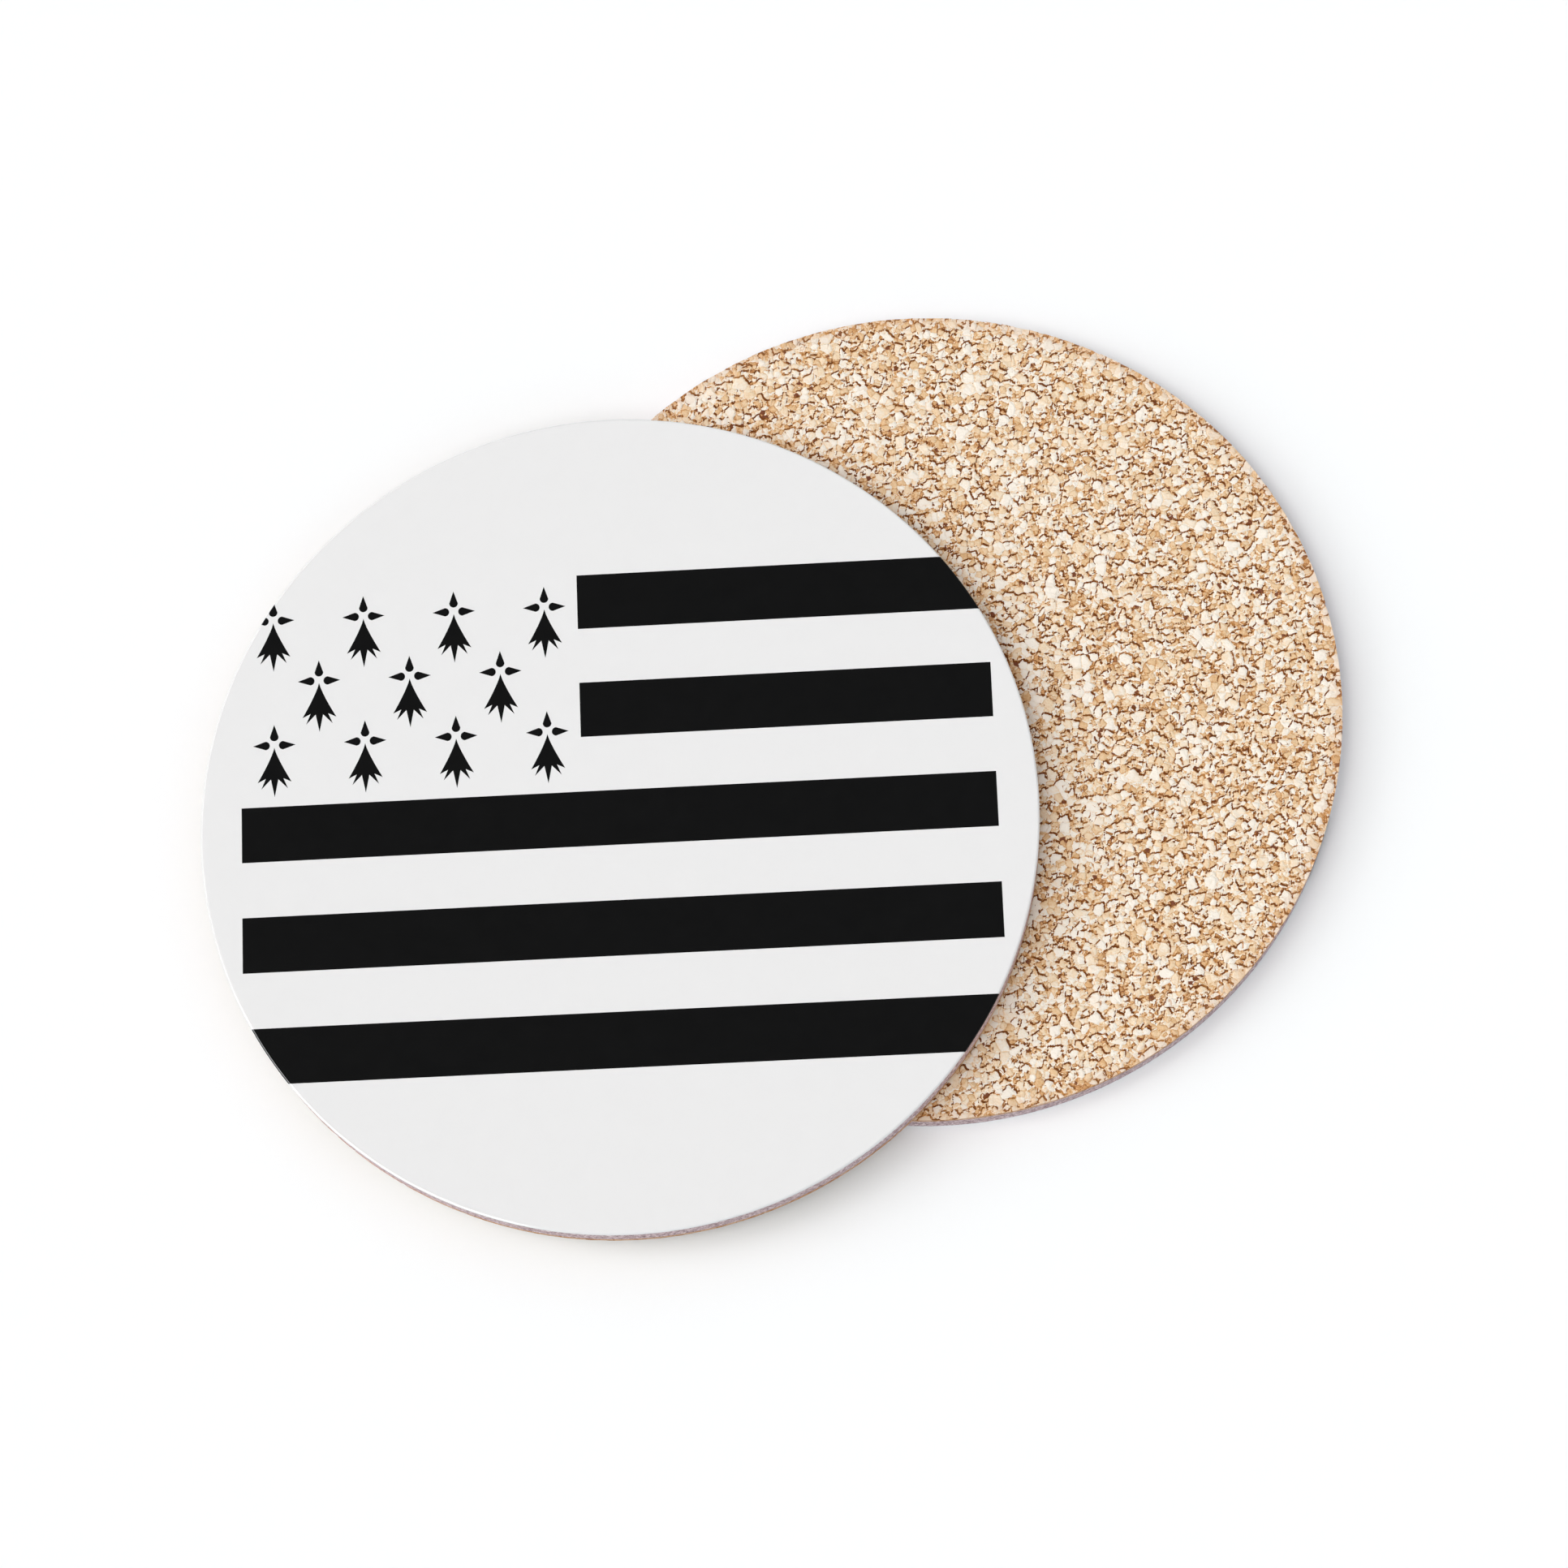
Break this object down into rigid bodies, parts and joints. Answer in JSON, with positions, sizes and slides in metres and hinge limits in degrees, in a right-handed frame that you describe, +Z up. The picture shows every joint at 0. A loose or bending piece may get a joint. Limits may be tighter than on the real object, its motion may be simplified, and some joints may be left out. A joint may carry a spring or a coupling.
{
  "type": "drink coaster pair",
  "caption": "Round cork-backed hardboard drink coasters, one face up with a glossy printed face, lying on one turned over to show its cork.",
  "frame": {"origin": "on the table, under the middle of the lower coaster", "axes": "+Z up, square to the coasters; +X along the stripes of the upper coaster, away from its field of spots; +Y towards the top of its print"},
  "size_m": [0.13, 0.1069, 0.008],
  "materials": {
    "cork": "granulated",
    "adhesive_film": "matte",
    "hardboard": "sawn",
    "white_coat": "gloss",
    "black_print": "gloss"
  },
  "bodies": {
    "lower_coaster": {"lower_cork": "cork", "lower_adhesive": "adhesive_film", "lower_hardboard": "hardboard", "lower_gloss_coat": "white_coat", "lower_stripes": "black_print", "lower_spots": "black_print"},
    "upper_coaster": {"upper_cork": "cork", "upper_adhesive": "adhesive_film", "upper_hardboard": "hardboard", "upper_gloss_coat": "white_coat", "upper_stripes": "black_print", "upper_spots": "black_print"}
  },
  "joints": [
    {"name": "upper_lift", "type": "slide", "parent": "lower_coaster", "child": "upper_coaster", "axis": [0, 0, 1], "range_m": [0, 0.04]}
  ]
}
